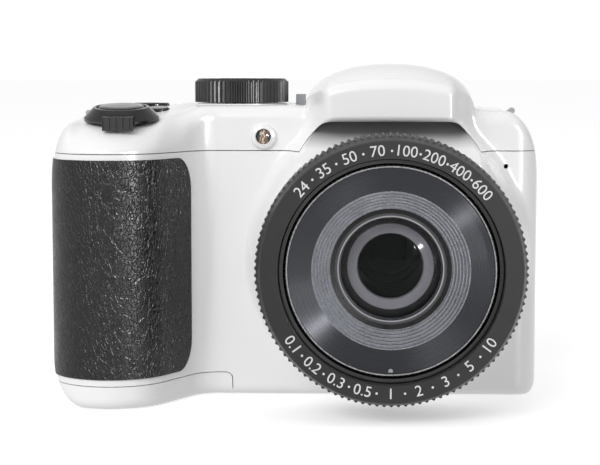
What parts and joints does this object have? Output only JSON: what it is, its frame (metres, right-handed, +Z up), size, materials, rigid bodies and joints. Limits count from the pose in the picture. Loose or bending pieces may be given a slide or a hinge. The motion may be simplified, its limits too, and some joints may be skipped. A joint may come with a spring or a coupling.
{
  "type": "bridge camera",
  "caption": "White bridge camera with a rubber-faced hand grip, nested zoom lens behind a knurled ring, pop-up flash hump, mode dial and rear monitor.",
  "frame": {"origin": "centre of the tripod socket's mouth, on the base plane", "axes": "+X to the side away from the grip (right as seen from the front), -Y the way the lens looks, +Z up"},
  "size_m": [0.12, 0.0842, 0.0831],
  "materials": {
    "white_plastic": "white satin moulding",
    "grip_rubber": "charcoal leather-grained rubber",
    "dark_plastic": "dark grey matt moulding",
    "black_gloss": "polished black",
    "grey_plastic": "mid grey satin",
    "red_plastic": "red satin",
    "barrel_black": "black anodised, spun",
    "bright_metal": "bright turned",
    "baffle_grey": "grey satin",
    "steel": "nickel plated",
    "frame_alloy": "bare die casting",
    "coated_glass": "coated optical glass",
    "lamp_amber": "amber lens",
    "monitor_glass": "dark polished window",
    "monitor_panel": "dark panel",
    "board_green": "solder resist",
    "cell_sleeve": "plain blue sleeve",
    "contact_brass": "plated spring strip"
  },
  "bodies": {
    "camera_body": {"front_cover": "white_plastic", "top_cover": "white_plastic", "rear_cover": "white_plastic", "grip_rubber": "grip_rubber", "thumb_rest": "grip_rubber", "chassis": "frame_alloy", "lens_tube": "dark_plastic", "front_ring": "dark_plastic", "dust_seal": "grip_rubber", "lamp_bezel": "white_plastic", "lamp_lens": "lamp_amber", "strap_lugs": "steel", "tripod_socket": "steel", "base_screws": "steel", "lcd_window": "monitor_glass", "lcd_panel": "monitor_panel", "main_board": "board_green", "image_sensor": "monitor_panel", "zoom_motor": "steel", "flash_capacitor": "black_gloss", "guide_rods": "steel", "battery_box": "dark_plastic", "battery_cells": "cell_sleeve", "card_slot": "steel", "memory_card": "dark_plastic", "door_pin": "steel", "flash_pin": "steel", "port_hinge_pin": "steel", "side_sockets": "steel"},
    "middle_barrel": {"middle_barrel": "dark_plastic"},
    "front_barrel": {"front_barrel": "barrel_black", "retaining_ring": "bright_metal", "front_element": "coated_glass", "baffle_ring": "baffle_grey", "second_element": "coated_glass"},
    "zoom_group": {"zoom_cell": "dark_plastic", "zoom_lens": "coated_glass"},
    "focus_group": {"focus_cell": "dark_plastic", "focus_lens": "coated_glass"},
    "shutter_button": {"shutter_button": "black_gloss"},
    "zoom_lever": {"zoom_lever": "dark_plastic"},
    "mode_dial": {"mode_dial": "dark_plastic"},
    "power_button": {"power_button": "black_gloss"},
    "burst_button": {"burst_button": "black_gloss"},
    "flash_button": {"flash_button": "grey_plastic"},
    "flash_lid": {"flash_lid": "white_plastic", "flash_head": "dark_plastic", "flash_window": "coated_glass", "reflector": "bright_metal"},
    "battery_door": {"battery_door": "white_plastic", "door_contacts": "contact_brass"},
    "battery_latch": {"battery_latch": "grey_plastic"},
    "port_cover": {"port_cover": "white_plastic"},
    "record_button": {"record_button": "red_plastic"},
    "menu_button": {"menu_button": "grey_plastic"},
    "delete_button": {"delete_button": "grey_plastic"},
    "play_button": {"play_button": "grey_plastic"},
    "navigation_ring": {"navigation_ring": "grey_plastic"},
    "set_button": {"set_button": "grey_plastic"}
  },
  "joints": [
    {"name": "zoom_middle", "type": "slide", "parent": "camera_body", "child": "middle_barrel", "axis": [0, -1, 0], "range_m": [0, 0.024]},
    {"name": "zoom_front", "type": "slide", "parent": "middle_barrel", "child": "front_barrel", "axis": [0, -1, 0], "range_m": [0, 0.022]},
    {"name": "zoom_optics", "type": "slide", "parent": "camera_body", "child": "zoom_group", "axis": [0, -1, 0], "range_m": [0, 0.01]},
    {"name": "focus", "type": "slide", "parent": "camera_body", "child": "focus_group", "axis": [0, -1, 0], "range_m": [-0.0012, 0.0012]},
    {"name": "shutter_press", "type": "slide", "parent": "camera_body", "child": "shutter_button", "axis": [0, 0.1219, -0.9925], "range_m": [0, 0.0012], "stiffness_N_per_m": 600},
    {"name": "zoom_rock", "type": "hinge", "parent": "camera_body", "child": "zoom_lever", "pos_m": [-0.0657, -0.027, 0.06905], "axis": [0, -0.1219, 0.9925], "range_deg": [-14, 14], "stiffness_Nm_per_rad": 0.05},
    {"name": "mode_turn", "type": "hinge", "parent": "camera_body", "child": "mode_dial", "pos_m": [-0.0378, -0.004, 0.0733], "axis": [0, 0, 1], "continuous": true},
    {"name": "power_press", "type": "slide", "parent": "camera_body", "child": "power_button", "axis": [0, 0, -1], "range_m": [0, 0.0007], "stiffness_N_per_m": 500},
    {"name": "burst_press", "type": "slide", "parent": "camera_body", "child": "burst_button", "axis": [0, 0.1219, -0.9925], "range_m": [0, 0.0007], "stiffness_N_per_m": 500},
    {"name": "flash_press", "type": "slide", "parent": "camera_body", "child": "flash_button", "axis": [0, 0, -1], "range_m": [0, 0.0008], "stiffness_N_per_m": 500},
    {"name": "flash_lift", "type": "hinge", "parent": "camera_body", "child": "flash_lid", "pos_m": [0, 0.0105, 0.0733], "axis": [-1, 0, 0], "range_deg": [0, 38]},
    {"name": "door_swing", "type": "hinge", "parent": "camera_body", "child": "battery_door", "pos_m": [-0.0408, 0, 0.0015], "axis": [0, -1, 0], "range_deg": [0, 95]},
    {"name": "latch_slide", "type": "slide", "parent": "battery_door", "child": "battery_latch", "axis": [1, 0, 0], "range_m": [0, 0.003]},
    {"name": "port_swing", "type": "hinge", "parent": "camera_body", "child": "port_cover", "pos_m": [0.03635, 0.011, 0.038], "axis": [0, 0, 1], "range_deg": [0, 95]},
    {"name": "record_press", "type": "slide", "parent": "camera_body", "child": "record_button", "axis": [0, -1, 0], "range_m": [0, 0.0005], "stiffness_N_per_m": 500},
    {"name": "menu_press", "type": "slide", "parent": "camera_body", "child": "menu_button", "axis": [0, -1, 0], "range_m": [0, 0.0005], "stiffness_N_per_m": 500},
    {"name": "delete_press", "type": "slide", "parent": "camera_body", "child": "delete_button", "axis": [0, -1, 0], "range_m": [0, 0.0005], "stiffness_N_per_m": 500},
    {"name": "play_press", "type": "slide", "parent": "camera_body", "child": "play_button", "axis": [0, -1, 0], "range_m": [0, 0.0005], "stiffness_N_per_m": 500},
    {"name": "navigation_rock", "type": "hinge", "parent": "camera_body", "child": "navigation_ring", "pos_m": [-0.0559, 0.025, 0.028], "axis": [1, 0, 0], "range_deg": [-2, 2], "stiffness_Nm_per_rad": 0.5},
    {"name": "set_press", "type": "slide", "parent": "camera_body", "child": "set_button", "axis": [0, -1, 0], "range_m": [0, 0.0005], "stiffness_N_per_m": 500}
  ],
  "couplings": [
    {"joint": "zoom_front", "follows": "zoom_middle", "ratio": 0.9166},
    {"joint": "zoom_optics", "follows": "zoom_middle", "ratio": 0.4166}
  ]
}
